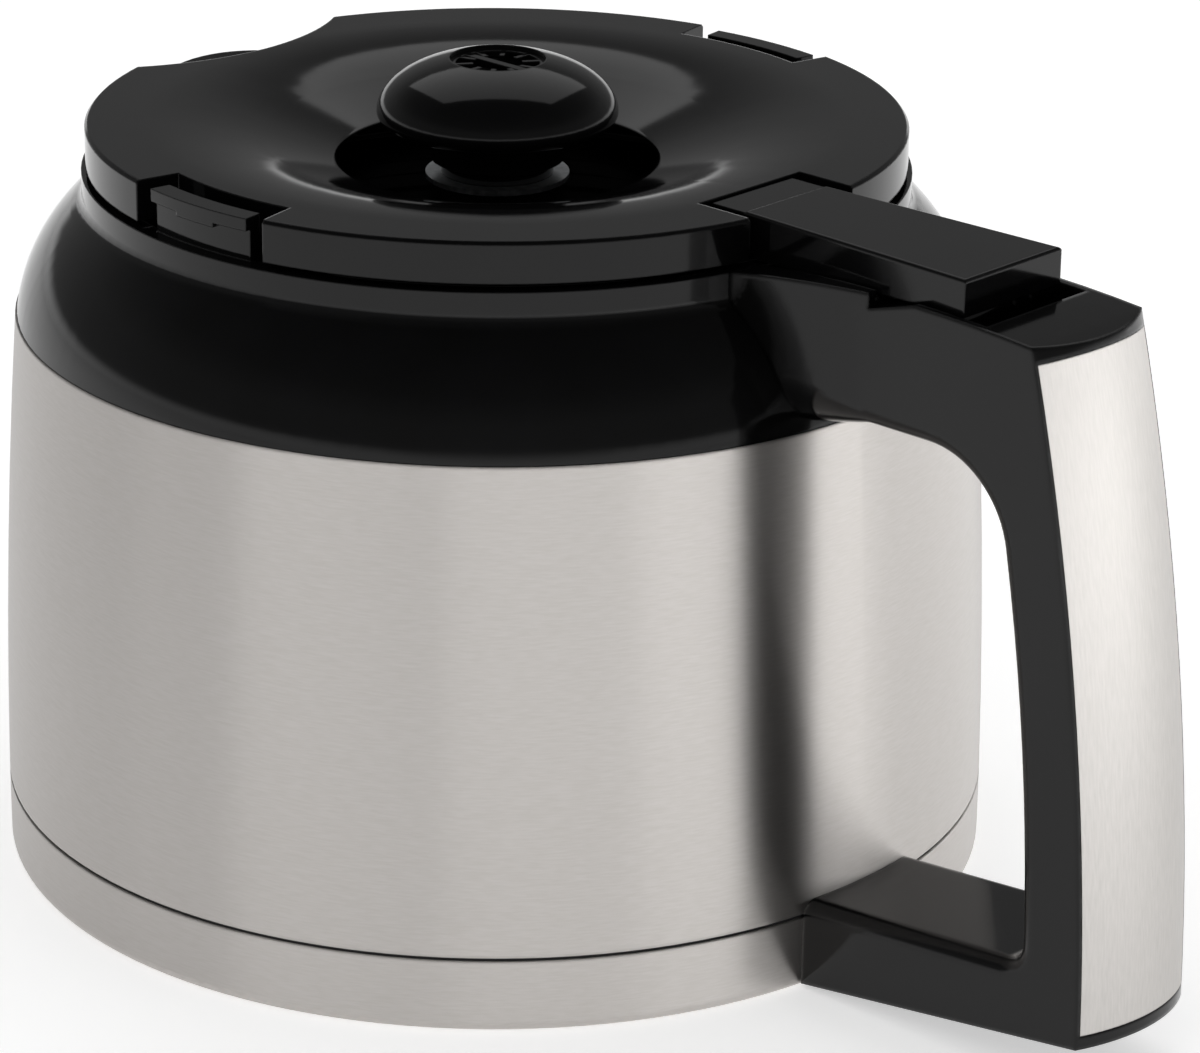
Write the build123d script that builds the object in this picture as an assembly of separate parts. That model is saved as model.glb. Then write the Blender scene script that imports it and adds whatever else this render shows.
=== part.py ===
from build123d import *
from math import cos, hypot, radians, sin, sqrt
import os

# A thermal carafe for a drip coffee machine: a double-walled steel jug with a black collar, a C-shaped
# handle with a steel cover, and a lid that swings up on a pin in the handle. A knob in the middle of the
# lid presses a valve down to pour. Millimetres. The origin is the centre of the circle that the jug
# stands on, +Z is up, the handle points along +X and the spout along -X.

# widths and heights that most others follow
SHELL_R = 80.0                 # outer shell, just above the seam
NECK_R = SHELL_R - 14.4        # the collar's neck
LID_R = NECK_R - 0.7
LINER_NECK_R = NECK_R - 11.0   # neck of the steel vessel
SHELL_TOP_Z = 90.2             # top edge of the steel that shows

# steel body
SHELL_MID_R = SHELL_R - 1.05   # outer shell, halfway up its gentle barrel
SHELL_TOP_R = SHELL_R - 3.4    # outer shell, where the collar starts
SHELL_WALL = 0.8
SEAM_Z = 12.0             # top of the base band
SEAM_GAP = 0.6            # dark line between the band and the shell
SEAM_DEPTH = 0.35
JOGGLE_FIT = 0.05         # radial play of the shell's stepped foot in the base band
JOGGLE_BOTTOM_Z = 6.0
SHOULDER_R = SHELL_R - 11.9    # the shell's shoulder bends here, under the collar
SHOULDER_Z = SHELL_TOP_Z + 6.6
STEEL_NECK_R = LINER_NECK_R + 2.4  # neck of the outer shell
STEEL_NECK_LOW_Z = SHELL_TOP_Z + 10.4
STEEL_NECK_Z = SHELL_TOP_Z + 13.8   # top of the shell's neck, where the liner's lip folds over it
LINER_R = SHELL_R - 8.0
LINER_WALL = 0.7
LINER_BOTTOM_Z = 10.0
LINER_SHOULDER_Z = SHELL_TOP_Z - 10.2
LINER_BEND_R = LINER_R - 3.4   # the liner's shoulder bends here
LINER_BEND_Z = SHELL_TOP_Z - 1.2
LINER_NECK_LOW_Z = SHELL_TOP_Z + 6.8
LINER_CORNER = 8.0        # the vessel's floor slopes up to its wall over this width
BASE_WALL = 0.8
BASE_EDGE_R = 1.8         # rounding under the base band
FOOT_RING_IN_R = SHELL_R - 11.0
BASE_RECESS = 2.6         # the middle of the underside stands this far off the table
BASE_RAMP = 3.1           # the underside rises to its middle over this width
CLOSING_WALL = 0.7
CLOSING_FLANGE_H = 3.4
GETTER_R = 5.0
GETTER_H = 1.6

# collar
COLLAR_RIM_R = SHELL_TOP_R - 0.2
COLLAR_WALL = 2.6
COLLAR_RIM_H = 1.0        # straight inner face above the collar's rim
DOME_MID_R = SHELL_R - 6.9
DOME_MID_Z = SHELL_TOP_Z + 9.8
DOME_TOP_R = NECK_R + 1.8
DOME_TOP_Z = SHELL_TOP_Z + 16.9
NECK_WALL = 3.1
NECK_TOP_Z = SHELL_TOP_Z + 23.1
NECK_FILLET = 2.6
LEDGE_IN_R = NECK_R - 6.1
LEDGE_H = 2.0
SEAL_H = 0.7              # the ring squeezed on the liner's lip
CLAMP_H = 1.8             # flange of the retaining ring
CLAMP_R = NECK_R - 3.4
CLAMP_EDGE = 0.6          # chamfer where the mouth opens
SLEEVE_WALL = 2.1
SLEEVE_FIT = 0.3
SLEEVE_BOTTOM_Z = SHELL_TOP_Z + 4.3
SPOUT_R = 26.0            # radius of the lip in plan
SPOUT_REACH = NECK_R + 4.4     # how far the lip stands out along -X
SPOUT_FOOT_R = 22.0
SPOUT_FOOT_Z = SHELL_TOP_Z + 13.8
SPOUT_WALL = 2.2
SPOUT_SECTOR = 26.0       # half the angle of the neck that the spout grows from
SPOUT_TIP_Z = NECK_TOP_Z + 3.2
SPOUT_SIDE_Z = NECK_TOP_Z + 0.3
CATCH_THICK = 3.4
CATCH_OUT_R = LID_R - 0.5
CATCH_ANGLE = 9.4         # half the angle that a catch spans
CATCH_DROP = 0.5          # a catch ends this far under the lid's top
CATCH_ROOT = 2.4          # how far a catch runs down inside the neck
CATCH_LIP_H = 2.0         # the catch's top edge stands out over this height
CATCH_STEP = 1.0          # and its face lies this far back below it
NIB_ANGLE = 3.6           # half the angle of the small nib in the middle of the lip
NIB_H = 0.7

# lid
LID_TOP_Z = SHELL_TOP_Z + 30.6
LID_SKIRT_Z = LID_TOP_Z - 6.5
LID_WALL = 2.2
LID_EDGE = 0.5            # chamfer round the lid's top edge
DISH_RIM_R = LID_R - 8.9  # the flat rim ends here and the dish starts
DISH_MID_R = LID_R - 27.9
DISH_MID_Z = LID_TOP_Z - 2.9
DISH_FLOOR_R = 24.5
DISH_FLOOR_Z = LID_TOP_Z - 6.8
NOTCH_ANGLE = 12.4        # half the angle of a side notch
NOTCH_DEPTH = 7.3
SCALLOP_DEEP_R = LID_R - 10.7  # the spout scallop's nearest point to the middle
SCALLOP_ANGLE = 20.3      # half the angle that the scallop takes out of the rim
ARM_NOTCH_X = LID_R - 11.6
ARM_NOTCH_HALF = 11.5
PLUG_R = LINER_NECK_R - 4.3
PLUG_WALL = 2.0
PLUG_TOP_Z = LID_TOP_Z - 3.6
PLUG_BOTTOM_Z = SHELL_TOP_Z + 4.8
PLUG_EDGE = 1.2           # chamfer round the plug's lower edge
PLUG_SEAL_Z = PLUG_BOTTOM_Z + 6.0   # underside of the lid seal
PLUG_SEAL_H = 2.0         # height of the seal's groove
SEAL_THICK = 1.8
PLUG_SEAL_DEPTH = 1.2
PLUG_SEAL_GAP = 0.6       # radial gap from the seal to the sleeve
PORT_HALF = 14.0
PORT_LOW_Z = SHELL_TOP_Z + 14.4
PORT_HIGH_Z = SHELL_TOP_Z + 21.8

# lid arm and its hinge
PIN_X = SHELL_R + 14.5
ARM_START_X = LID_R - 4.4
ARM_END_X = PIN_X + 10.0
ARM_START_HALF = 9.3
ARM_END_HALF = 11.0
ARM_TOP_Z = LID_TOP_Z - 0.1
ARM_START_LOW_Z = LID_TOP_Z - 7.1
ARM_END_LOW_Z = LID_TOP_Z - 5.75
ARM_WALL = 2.0
ARM_EDGE_R = 0.6
ARM_RIBS = 4
TONGUE_GAP = 0.7
TONGUE_HALF = 9.0
TONGUE_DROP = 0.25
BOSS_R = 3.4
YOKE_H = 2.2
YOKE_HALF = 21.0
YOKE_START_X = PLUG_R + 1.6
YOKE_SCREW_X = YOKE_START_X + 3.3
YOKE_SCREW_Y = 17.0
PIN_Z = SHELL_TOP_Z + 19.3
PIN_R = 1.5
PIN_PLAY = 0.05           # radial play of the pin in the arm's knuckle
PIN_SEAT = 0.02           # radial play of the pin in the cheeks
PIN_END = 10.6            # the pin's blind end, on the -Y side
PIN_SUNK = 0.4
KNUCKLE_R = 4.6
KNUCKLE_HALF = 7.0
SWING_GAP = 0.5           # room round the arm's swing
SIDE_GAP = 0.4            # room beside the arm and its knuckle
SHOULDER_GAP = 0.3        # room between the knuckle and the pocket's inner wall
POCKET_FLOOR_Z = SHELL_TOP_Z + 9.3

# handle
GRIP_HALF = 12.8
ROOT_HALF = 16.2
ROOT_START_X = NECK_R - 5.6
ROOT_BOTTOM_Z = SHELL_TOP_Z - 4.2
ROOT_CORNER_R = 15.6
ROOT_END_X = SHELL_R + 8.0
ARM_UNDER_Z = SHELL_TOP_Z + 4.5
HANDLE_START_TOP_Z = SHELL_TOP_Z + 22.8
HANDLE_HIGH_X = SHELL_R + 12.0
HANDLE_HIGH_Z = SHELL_TOP_Z + 25.1
HANDLE_END_TOP_Z = SHELL_TOP_Z + 24.0
STRIP_TOP = (SHELL_R + 38.8, SHELL_TOP_Z + 21.5)  # three points where the side face meets the crowned back
STRIP_MID = (SHELL_R + 48.3, SHELL_TOP_Z - 27.0)
STRIP_LOW = (SHELL_R + 52.3, 11.0)
NOSE_DEPTH = 3.5          # how far the crowned back stands out past the side faces
COVER_WALL = 0.8
COVER_SIDE_RIM = 0.6      # black rim beside the steel cover
COVER_LOW_RIM = 2.2
OPENING_CORNER_R = 15.0
OPENING_HEEL_R = 3.6
GRIP_TOP = (SHELL_R + 33.7, SHELL_TOP_Z - 6.2)  # three points on the grip's inner face
GRIP_MID = (SHELL_R + 38.4, SHELL_TOP_Z - 36.2)
GRIP_LOW = (SHELL_R + 40.4, 27.0)
FOOT_TOP_START = (SHELL_R - 4.0, 14.4)
FOOT_TOP_END = (SHELL_R + 39.0, 18.5)
FOOT_LOW_START = (SHELL_R - 4.0, 0.3)
FOOT_LOW_END = (SHELL_R + 62.0, 10.0)
FINGER_R = 2.6            # rounding of the edges that the fingers touch
CORE_HALF = 8.6
CORE_DEPTH = 5.6
CORE_LOW_Z = 20.0
CORE_HIGH_Z = SHELL_TOP_Z + 1.8
CORE_RIBS = 4
RIB = 1.4

# knob and valve
KNOB_R = 19.1
KNOB_WIDE_Z = LID_TOP_Z + 0.9
KNOB_TOP_Z = KNOB_WIDE_Z + 9.3
KNOB_UNDER_Z = KNOB_WIDE_Z - 2.3
KNOB_UNDER_R = 15.6
GRILLE_R = 7.6
GRILLE_DROP = 1.5
GRILLE_H = 1.2
GRILLE_RIM = 1.0
GRILLE_BAR = 1.5
GRILLE_SPOKES = 10
GRILLE_SPOKE = 0.9
GRILLE_SPOKE_IN_R = 3.9
HUB_R = 7.4
HUB_BOTTOM_Z = DISH_FLOOR_Z - 1.5
KNOB_WALL = 1.6
FUNNEL_H = 4.0
GUIDE_PLAY = 0.06
GUIDE_R = 8.9
GUIDE_COLLAR_R = 10.5
GUIDE_TOP_Z = LID_TOP_Z - 1.5
GUIDE_BOTTOM_Z = DISH_FLOOR_Z - 7.0
GUIDE_CLIP_R = 11.4
STEM_CLIP_R = 7.6
CLIP_H = 0.8
CLIP_DEPTH = 0.5
STEM_R = 5.2
STEM_BORE_R = 3.4
STEM_GAP = 0.4
STEM_BOTTOM_Z = PLUG_BOTTOM_Z - 4.7
STEM_TOP_Z = KNOB_TOP_Z - 7.0
STEM_STEP = 0.5           # the disc sits on a thinner end of the stem
VALVE_HOLE_R = 12.0
CAGE_WALL = 2.6
CAGE_RING_Z = PLUG_BOTTOM_Z + 4.5
CAGE_RING_H = 2.0
CAGE_POSTS = 4
POST_ANGLE = 17.0         # half the angle that a post spans
DISC_R = 16.0
DISC_H = 1.8
VALVE_SEAL_R = 14.8
VALVE_SEAL_IN_R = 12.6
VALVE_SEAL_H = 1.0
SEAT_GAP = 0.3
SPRING_R = 6.4
SPRING_WIRE_R = 0.4
SPRING_TURNS = 4
SPRING_WIRE_SIDES = 4     # a square wire keeps the faces of the hidden coil few

# fasteners
SCREW_R = 1.5
SCREW_HEAD_R = 2.6
SCREW_HEAD_H = 1.6
SCREW_SLOT = 0.7
SCREW_PLAY = 0.1          # radial play of a screw in its clearance hole
HOLE_DEEPER = 0.3         # a blind screw hole goes this far past the screw's tip
ROOT_SCREW_Y = 8.4
ROOT_SCREW_Z = SHELL_TOP_Z + 19.5
ROOT_SCREW_L = 12.0
HEAD_WAY = 6.0            # free length in front of a root screw's head
YOKE_SCREW_L = 3.8
FOOT_SCREW_X = SHELL_R + 11.0
FOOT_SCREW_L = 8.0
FOOT_SCREW_Z = 4.2
BRACKET_WALL = 1.2
BRACKET_HALF = 7.0
BRACKET_REACH = SHELL_R + 16.0
BRACKET_LOW_Z = 3.0
BRACKET_TOP_Z = 11.0
BRACKET_TAB_Z = 8.0
BRACKET_PLAY = 0.15

FAR = 2.5 * SHELL_R       # past every face of the carafe, for cuts that go right through
MARGIN = 1.0              # a cut that ends inside runs this far past the face it starts from

LIP_TOP_Z = STEEL_NECK_Z + LINER_WALL
CLAMP_LOW_Z = LIP_TOP_Z + SEAL_H
CLAMP_TOP_Z = CLAMP_LOW_Z + CLAMP_H
NECK_IN_R = NECK_R - NECK_WALL
SLEEVE_OUT_R = LINER_NECK_R - LINER_WALL - SLEEVE_FIT
MOUTH_R = SLEEVE_OUT_R - SLEEVE_WALL
DISH_UNDER_Z = DISH_FLOOR_Z - LID_WALL


def spun(face):
    """A face drawn as radius and height, turned round the upright axis."""
    return revolve(Plane.XZ * face, Axis.Z)


def ring(r_out, r_in, low, high):
    """A round ring or washer between two heights."""
    plan = Circle(r_out) - Circle(r_in) if r_in > 0 else Circle(r_out)
    return Pos(0, 0, low) * extrude(plan, high - low)


def block(x0, x1, y0, y1, z0, z1):
    """A rectangular block between two corners."""
    middle = Pos((x0 + x1) / 2, (y0 + y1) / 2, (z0 + z1) / 2)
    return middle * Box(x1 - x0, y1 - y0, z1 - z0)


def rod(radius, length):
    """A round rod standing on the origin."""
    return Cylinder(radius, length, align=(Align.CENTER, Align.CENTER, Align.MIN))


def arc_block(r_out, r_in, turn, half_angle, low, high):
    """A piece of a ring: its middle lies at the angle turn, and it spans half_angle each way."""
    x = FAR * cos(radians(half_angle))
    y = FAR * sin(radians(half_angle))
    plan = (Circle(r_out) - Circle(r_in)) & area((0, 0), (x, -y), (x, y))
    return Pos(0, 0, low) * Rot(0, 0, turn) * extrude(plan, high - low)


def circle_through(p, q, r):
    """Centre and radius of the circle through three points of a side view."""
    ax, ay = q[0] - p[0], q[1] - p[1]
    bx, by = r[0] - p[0], r[1] - p[1]
    d = 2 * (ax * by - ay * bx)
    a2 = ax * ax + ay * ay
    b2 = bx * bx + by * by
    cx = (by * a2 - ay * b2) / d
    cy = (ax * b2 - bx * a2) / d
    return p[0] + cx, p[1] + cy, hypot(cx, cy)


def upright_arc(points, low, high):
    """Part of the circle through three points, from a high z down to a low z, on its +X side."""
    cx, cz, r = circle_through(*points)
    ends = [(cx + sqrt(r * r - (z - cz) ** 2), z) for z in (high, (low + high) / 2, low)]
    return ThreePointArc(*ends)


def side_slab(face, half):
    """A side view drawn as x and z, given the same half width both ways."""
    return extrude(Plane.XZ * face, half, both=True)


def area(*points):
    """A straight-sided face through the points."""
    return make_face(Polyline(*points, close=True))


def sheet_metal(outline, wall, low, high, r_low=0.0):
    """The skin just inside a half outline, between two heights, turned into a pressed part."""
    whole = outline + mirror(outline, Plane.YZ)
    strip = whole - offset(whole, amount=-wall)
    window = area((r_low, low), (FAR, low), (FAR, high), (r_low, high))
    return spun(strip & window)


def screw(length):
    """A slotted screw: the outer face of its head lies at the origin and the shank points up."""
    body = rod(SCREW_HEAD_R, SCREW_HEAD_H) + Pos(0, 0, SCREW_HEAD_H) * rod(SCREW_R, length)
    return body - Box(2 * SCREW_HEAD_R, SCREW_SLOT, SCREW_HEAD_H)


def shell_outline():
    """Half outline of the outer shell: stepped foot, barrel, shoulder under the collar, neck."""
    foot_r = SHELL_R - BASE_WALL - JOGGLE_FIT
    low = SEAM_Z + SEAM_GAP
    under_r = COLLAR_RIM_R - COLLAR_WALL - SLEEVE_FIT
    barrel_mid = (low + SHELL_TOP_Z) / 2
    barrel = ThreePointArc((SHELL_R, low), (SHELL_MID_R, barrel_mid), (SHELL_TOP_R, SHELL_TOP_Z))
    edges = Curve() + [
        Polyline((0, 0), (foot_r, 0), (foot_r, low), (SHELL_R, low)),
        barrel,
        Polyline(
            (SHELL_TOP_R, SHELL_TOP_Z),
            (under_r, SHELL_TOP_Z),
            (SHOULDER_R, SHOULDER_Z),
            (STEEL_NECK_R, STEEL_NECK_LOW_Z),
            (STEEL_NECK_R, FAR),
            (0, FAR),
            (0, 0),
        ),
    ]
    return make_face(edges)


def outer_shell():
    """Brushed steel shell, open at the foot and at the neck."""
    return sheet_metal(shell_outline(), SHELL_WALL, JOGGLE_BOTTOM_Z, STEEL_NECK_Z)


def inner_liner():
    """Steel vessel that holds the coffee, with a lip folded over the shell's neck."""
    outline = area(
        (0, LINER_BOTTOM_Z),
        (LINER_R, LINER_BOTTOM_Z),
        (LINER_R, LINER_SHOULDER_Z),
        (LINER_BEND_R, LINER_BEND_Z),
        (LINER_NECK_R, LINER_NECK_LOW_Z),
        (LINER_NECK_R, FAR),
        (0, FAR),
    )
    corner = outline.vertices().sort_by_distance((LINER_R, LINER_BOTTOM_Z, 0))[0]
    outline = chamfer(corner, LINER_CORNER)
    vessel = sheet_metal(outline, LINER_WALL, LINER_BOTTOM_Z, LIP_TOP_Z)
    return vessel + ring(STEEL_NECK_R, LINER_NECK_R - LINER_WALL, STEEL_NECK_Z, LIP_TOP_Z)


def closing_disc():
    """Flanged disc welded into the shell's foot to close the vacuum space."""
    out_r = SHELL_R - BASE_WALL - JOGGLE_FIT - SHELL_WALL
    low = JOGGLE_BOTTOM_Z
    disc = ring(out_r, 0, low, low + CLOSING_WALL)
    return disc + ring(out_r, out_r - CLOSING_WALL, low, low + CLOSING_FLANGE_H)


def getter():
    """Pellet on the closing disc that keeps the vacuum."""
    low = JOGGLE_BOTTOM_Z + CLOSING_WALL
    return ring(GETTER_R, GETTER_R / 4, low, low + GETTER_H)


def base_cup():
    """Brushed steel base band with its recessed underside."""
    outline = area(
        (0, BASE_RECESS),
        (FOOT_RING_IN_R - BASE_RAMP, BASE_RECESS),
        (FOOT_RING_IN_R, 0),
        (SHELL_R, 0),
        (SHELL_R, FAR),
        (0, FAR),
    )
    corner = outline.vertices().sort_by_distance((SHELL_R, 0, 0))[0]
    outline = fillet(corner, BASE_EDGE_R)
    return sheet_metal(outline, BASE_WALL, 0, SEAM_Z)


def seam_ring():
    """Thin black ring that fills the seam above the base band."""
    return ring(SHELL_R - SEAM_DEPTH, SHELL_R - BASE_WALL, SEAM_Z, SEAM_Z + SEAM_GAP)


def collar_outline():
    """Half outline of the collar's outside, from the rim on the steel up to the neck's top."""
    dome = ThreePointArc((COLLAR_RIM_R, SHELL_TOP_Z), (DOME_MID_R, DOME_MID_Z), (DOME_TOP_R, DOME_TOP_Z))
    out = dome % 1
    reach = (DOME_TOP_R - NECK_R) / -out.X
    corner = (NECK_R, DOME_TOP_Z + reach * out.Y)
    edges = Curve() + [
        dome,
        Polyline((DOME_TOP_R, DOME_TOP_Z), corner, (NECK_R, NECK_TOP_Z), (0, NECK_TOP_Z), (0, SHELL_TOP_Z)),
        Line((0, SHELL_TOP_Z), (COLLAR_RIM_R, SHELL_TOP_Z)),
    ]
    outline = make_face(edges)
    bend = outline.vertices().sort_by_distance((corner[0], corner[1], 0))[0]
    return fillet(bend, NECK_FILLET)


def spout_cone(inset, low, high):
    """Flaring round wall of the spout, made smaller by an inset."""
    middle_x = -SPOUT_REACH + SPOUT_R
    slope = (SPOUT_R - SPOUT_FOOT_R) / (SPOUT_TIP_Z - SPOUT_FOOT_Z)
    r_low = SPOUT_FOOT_R + slope * (low - SPOUT_FOOT_Z) - inset
    r_high = SPOUT_FOOT_R + slope * (high - SPOUT_FOOT_Z) - inset
    cone = Cone(r_low, r_high, high - low, align=(Align.CENTER, Align.CENTER, Align.MIN))
    return Pos(middle_x, 0, low) * cone


def catch(turn):
    """One of the catches on the neck: a lip with a nib under it, on a face that lies further back."""
    in_r = CATCH_OUT_R - CATCH_THICK
    top = LID_TOP_Z - CATCH_DROP
    lip_low = top - CATCH_LIP_H
    stem = arc_block(CATCH_OUT_R - CATCH_STEP, in_r, turn, CATCH_ANGLE, NECK_TOP_Z - CATCH_ROOT, lip_low)
    lip = arc_block(CATCH_OUT_R, in_r, turn, CATCH_ANGLE, lip_low, top)
    return stem + lip + arc_block(CATCH_OUT_R, in_r, turn, NIB_ANGLE, lip_low - NIB_H, lip_low)


def collar():
    """Black moulded collar: dome, neck, pouring lip and the two catches."""
    ledge_low = CLAMP_LOW_Z - LEDGE_H
    rim_in = COLLAR_RIM_R - COLLAR_WALL
    hollow = area(
        (0, 0),
        (rim_in, 0),
        (rim_in, SHELL_TOP_Z + COLLAR_RIM_H),
        (DOME_TOP_R - COLLAR_WALL, ledge_low),
        (LEDGE_IN_R, ledge_low),
        (LEDGE_IN_R, CLAMP_LOW_Z),
        (NECK_IN_R, CLAMP_LOW_Z),
        (NECK_IN_R, FAR),
        (0, FAR),
    )
    body = spun(collar_outline() - hollow)
    for turn in (90, -90):
        body += catch(turn)
    low_x = -NECK_IN_R * cos(radians(SPOUT_SECTOR))
    spout = spout_cone(0, SPOUT_FOOT_Z, SPOUT_TIP_Z) & block(-FAR, low_x, -FAR, FAR, 0, FAR)
    spout -= Cylinder(NECK_IN_R, 2 * FAR)
    tip_x = -SPOUT_REACH - MARGIN
    above_lip = area((tip_x, SPOUT_TIP_Z), (low_x, SPOUT_SIDE_Z), (low_x, FAR), (tip_x, FAR))
    body += spout - side_slab(above_lip, FAR)
    channel = spout_cone(SPOUT_WALL, CLAMP_TOP_Z, SPOUT_TIP_Z + MARGIN)
    body -= channel & block(-FAR, -LEDGE_IN_R, -FAR, FAR, 0, FAR)
    for y in (-ROOT_SCREW_Y, ROOT_SCREW_Y):
        body -= root_screw_hole(y)
    return body


def collar_seal():
    """Soft ring between the liner's lip and the retaining ring."""
    return ring(STEEL_NECK_R, MOUTH_R + SLEEVE_WALL + SLEEVE_FIT, LIP_TOP_Z, CLAMP_LOW_Z)


def retaining_ring():
    """Ring that clamps the collar on the steel neck and lines the mouth."""
    flange = ring(CLAMP_R, MOUTH_R, CLAMP_LOW_Z, CLAMP_TOP_Z)
    sleeve = ring(SLEEVE_OUT_R, MOUTH_R, SLEEVE_BOTTOM_Z, CLAMP_LOW_Z)
    body = flange + sleeve
    edge = body.edges().filter_by(GeomType.CIRCLE).group_by(Axis.Z)[-1].sort_by(SortBy.RADIUS)[0]
    return chamfer(edge, CLAMP_EDGE)


def root_screw_hole(y):
    """Clearance for one of the screws that hold the handle's root from inside the neck."""
    turned = Pos(NECK_IN_R, y, ROOT_SCREW_Z) * Rot(0, 90, 0)
    head = Pos(0, 0, -HEAD_WAY) * rod(SCREW_HEAD_R + SCREW_PLAY, HEAD_WAY + SCREW_HEAD_H)
    return turned * (head + rod(SCREW_R + PIN_SEAT, SCREW_HEAD_H + ROOT_SCREW_L + HOLE_DEEPER))


def root_screws():
    """Two screws through the collar's neck into the handle's root."""
    places = [Pos(NECK_IN_R, y, ROOT_SCREW_Z) * Rot(0, 90, 0) for y in (-ROOT_SCREW_Y, ROOT_SCREW_Y)]
    return Compound([place * screw(ROOT_SCREW_L) for place in places])


def back_sweep(profile):
    """A section of the grip swept down the line where the side faces meet the crowned back."""
    path = Plane.XZ * upright_arc((STRIP_TOP, STRIP_MID, STRIP_LOW), -NOSE_DEPTH, LID_TOP_Z)
    start = Plane(path @ 0, x_dir=(0, 1, 0), z_dir=path % 0)
    return sweep(start * profile, path)


def nose(inset):
    """Crowned back of the grip in section, as a disc made smaller by an inset."""
    radius = (GRIP_HALF**2 + NOSE_DEPTH**2) / (2 * NOSE_DEPTH)
    return Pos(0, NOSE_DEPTH - radius) * Circle(radius - inset)


def under_top(drop):
    """Side view of the space under the handle's gently arched top, lowered by a drop."""
    start = (ROOT_START_X, HANDLE_START_TOP_Z - drop)
    high = (HANDLE_HIGH_X, HANDLE_HIGH_Z - drop)
    end = (STRIP_TOP[0], HANDLE_END_TOP_Z - drop)
    cx, cz, r = circle_through(start, high, end)
    far_x = STRIP_LOW[0] + 2 * NOSE_DEPTH
    far_end = (far_x, cz + sqrt(r * r - (far_x - cx) ** 2))
    arch = ThreePointArc(start, high, far_end)
    return make_face(Curve() + [arch, Polyline(far_end, (far_x, -FAR), (start[0], -FAR), start)])


def under_cover_top():
    """Side view of the space under the steel cover's top end, which is cut square to the grip."""
    x, z = STRIP_TOP
    cx, cz, r = circle_through(STRIP_TOP, STRIP_MID, STRIP_LOW)
    out = ((x - cx) / r, (z - cz) / r)
    start = (x - SHELL_R * out[0], z - SHELL_R * out[1])
    end = (x + SHELL_R * out[0], z + SHELL_R * out[1])
    return area(start, end, (end[0], -FAR), (start[0], -FAR))


def over_foot(rise):
    """Side view of the space over the lower arm's underside, raised by a rise."""
    (x0, z0), (x1, z1) = FOOT_LOW_START, FOOT_LOW_END
    return area((0, z0 + rise), (x0, z0 + rise), (x1, z1 + rise), (x1, FAR), (0, FAR))


def finger_opening():
    """Side view of the opening between the jug and the grip."""
    grip = upright_arc((GRIP_TOP, GRIP_MID, GRIP_LOW), FOOT_TOP_END[1], ARM_UNDER_Z)
    top = grip @ 0
    low = grip @ 1
    x, z = FOOT_TOP_START
    rest = Polyline((low.X, low.Y), (x, z), (0, z), (0, ARM_UNDER_Z), (top.X, top.Y))
    face = make_face(Curve() + [grip, rest])
    face = fillet(face.vertices().sort_by_distance((top.X, top.Y, 0))[0], OPENING_CORNER_R)
    return fillet(face.vertices().sort_by_distance((low.X, low.Y, 0))[0], OPENING_HEEL_R)


def handle_root():
    """Flare that widens the upper arm where it meets the collar."""
    high = HANDLE_HIGH_Z + 2 * ROOT_CORNER_R
    start_h = high - ROOT_BOTTOM_Z
    end_h = high - ARM_UNDER_Z
    start = RectangleRounded(2 * ROOT_HALF, start_h, ROOT_CORNER_R)
    end = RectangleRounded(2 * GRIP_HALF, end_h, FINGER_R)
    at_start = Plane((ROOT_START_X, 0, high - start_h / 2), x_dir=(0, 1, 0), z_dir=(1, 0, 0))
    at_end = Plane((ROOT_END_X, 0, high - end_h / 2), x_dir=(0, 1, 0), z_dir=(1, 0, 0))
    return loft([at_start * start, at_end * end])


def arm_half(x):
    """Half width of the lid's arm at x."""
    share = (x - ARM_START_X) / (ARM_END_X - ARM_START_X)
    return ARM_START_HALF + share * (ARM_END_HALF - ARM_START_HALF)


def arm_low(x):
    """Underside of the lid's arm at x."""
    share = (x - ARM_START_X) / (ARM_END_X - ARM_START_X)
    return ARM_START_LOW_Z + share * (ARM_END_LOW_Z - ARM_START_LOW_Z)


def arm_room():
    """Space in the handle's top that the arm lies in and its outer end swings down into."""
    x0 = DISH_RIM_R
    x1 = ARM_END_X
    h0 = arm_half(x0) + SIDE_GAP
    h1 = arm_half(x1) + SIDE_GAP
    lying = extrude(area((x0, -h0), (x1, -h1), (x1, h1), (x0, h0)), FAR)
    floor = area((x0, arm_low(x0) - SWING_GAP), (x1, arm_low(x1) - SWING_GAP), (x1, FAR), (x0, FAR))
    room = lying & side_slab(floor, FAR)
    swing_r = hypot(ARM_END_X - PIN_X, ARM_TOP_Z - PIN_Z) + SWING_GAP
    shoulder_r = KNUCKLE_R + SHOULDER_GAP
    swing = Pos(PIN_X, PIN_Z) * Circle(swing_r)
    swing &= area((PIN_X, POCKET_FLOOR_Z), (FAR, POCKET_FLOOR_Z), (FAR, FAR), (PIN_X, FAR))
    swing -= Pos(PIN_X, PIN_Z) * Circle(shoulder_r)
    swing -= area((PIN_X, 0), (PIN_X + shoulder_r, 0), (PIN_X + shoulder_r, PIN_Z), (PIN_X, PIN_Z))
    room += side_slab(swing, h1)
    slot_r = KNUCKLE_R + SIDE_GAP
    slot = Pos(PIN_X, PIN_Z) * Circle(slot_r)
    low_x, high_x = PIN_X - slot_r, PIN_X + slot_r
    slot += area((low_x, PIN_Z), (high_x, PIN_Z), (high_x, ARM_TOP_Z), (low_x, ARM_TOP_Z))
    return room + side_slab(slot, KNUCKLE_HALF + SIDE_GAP)


def pin_rod(radius, y0, y1):
    """A rod on the hinge's axis."""
    turned = Pos(PIN_X, y0, PIN_Z) * Rot(-90, 0, 0)
    return turned * rod(radius, y1 - y0)


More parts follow.
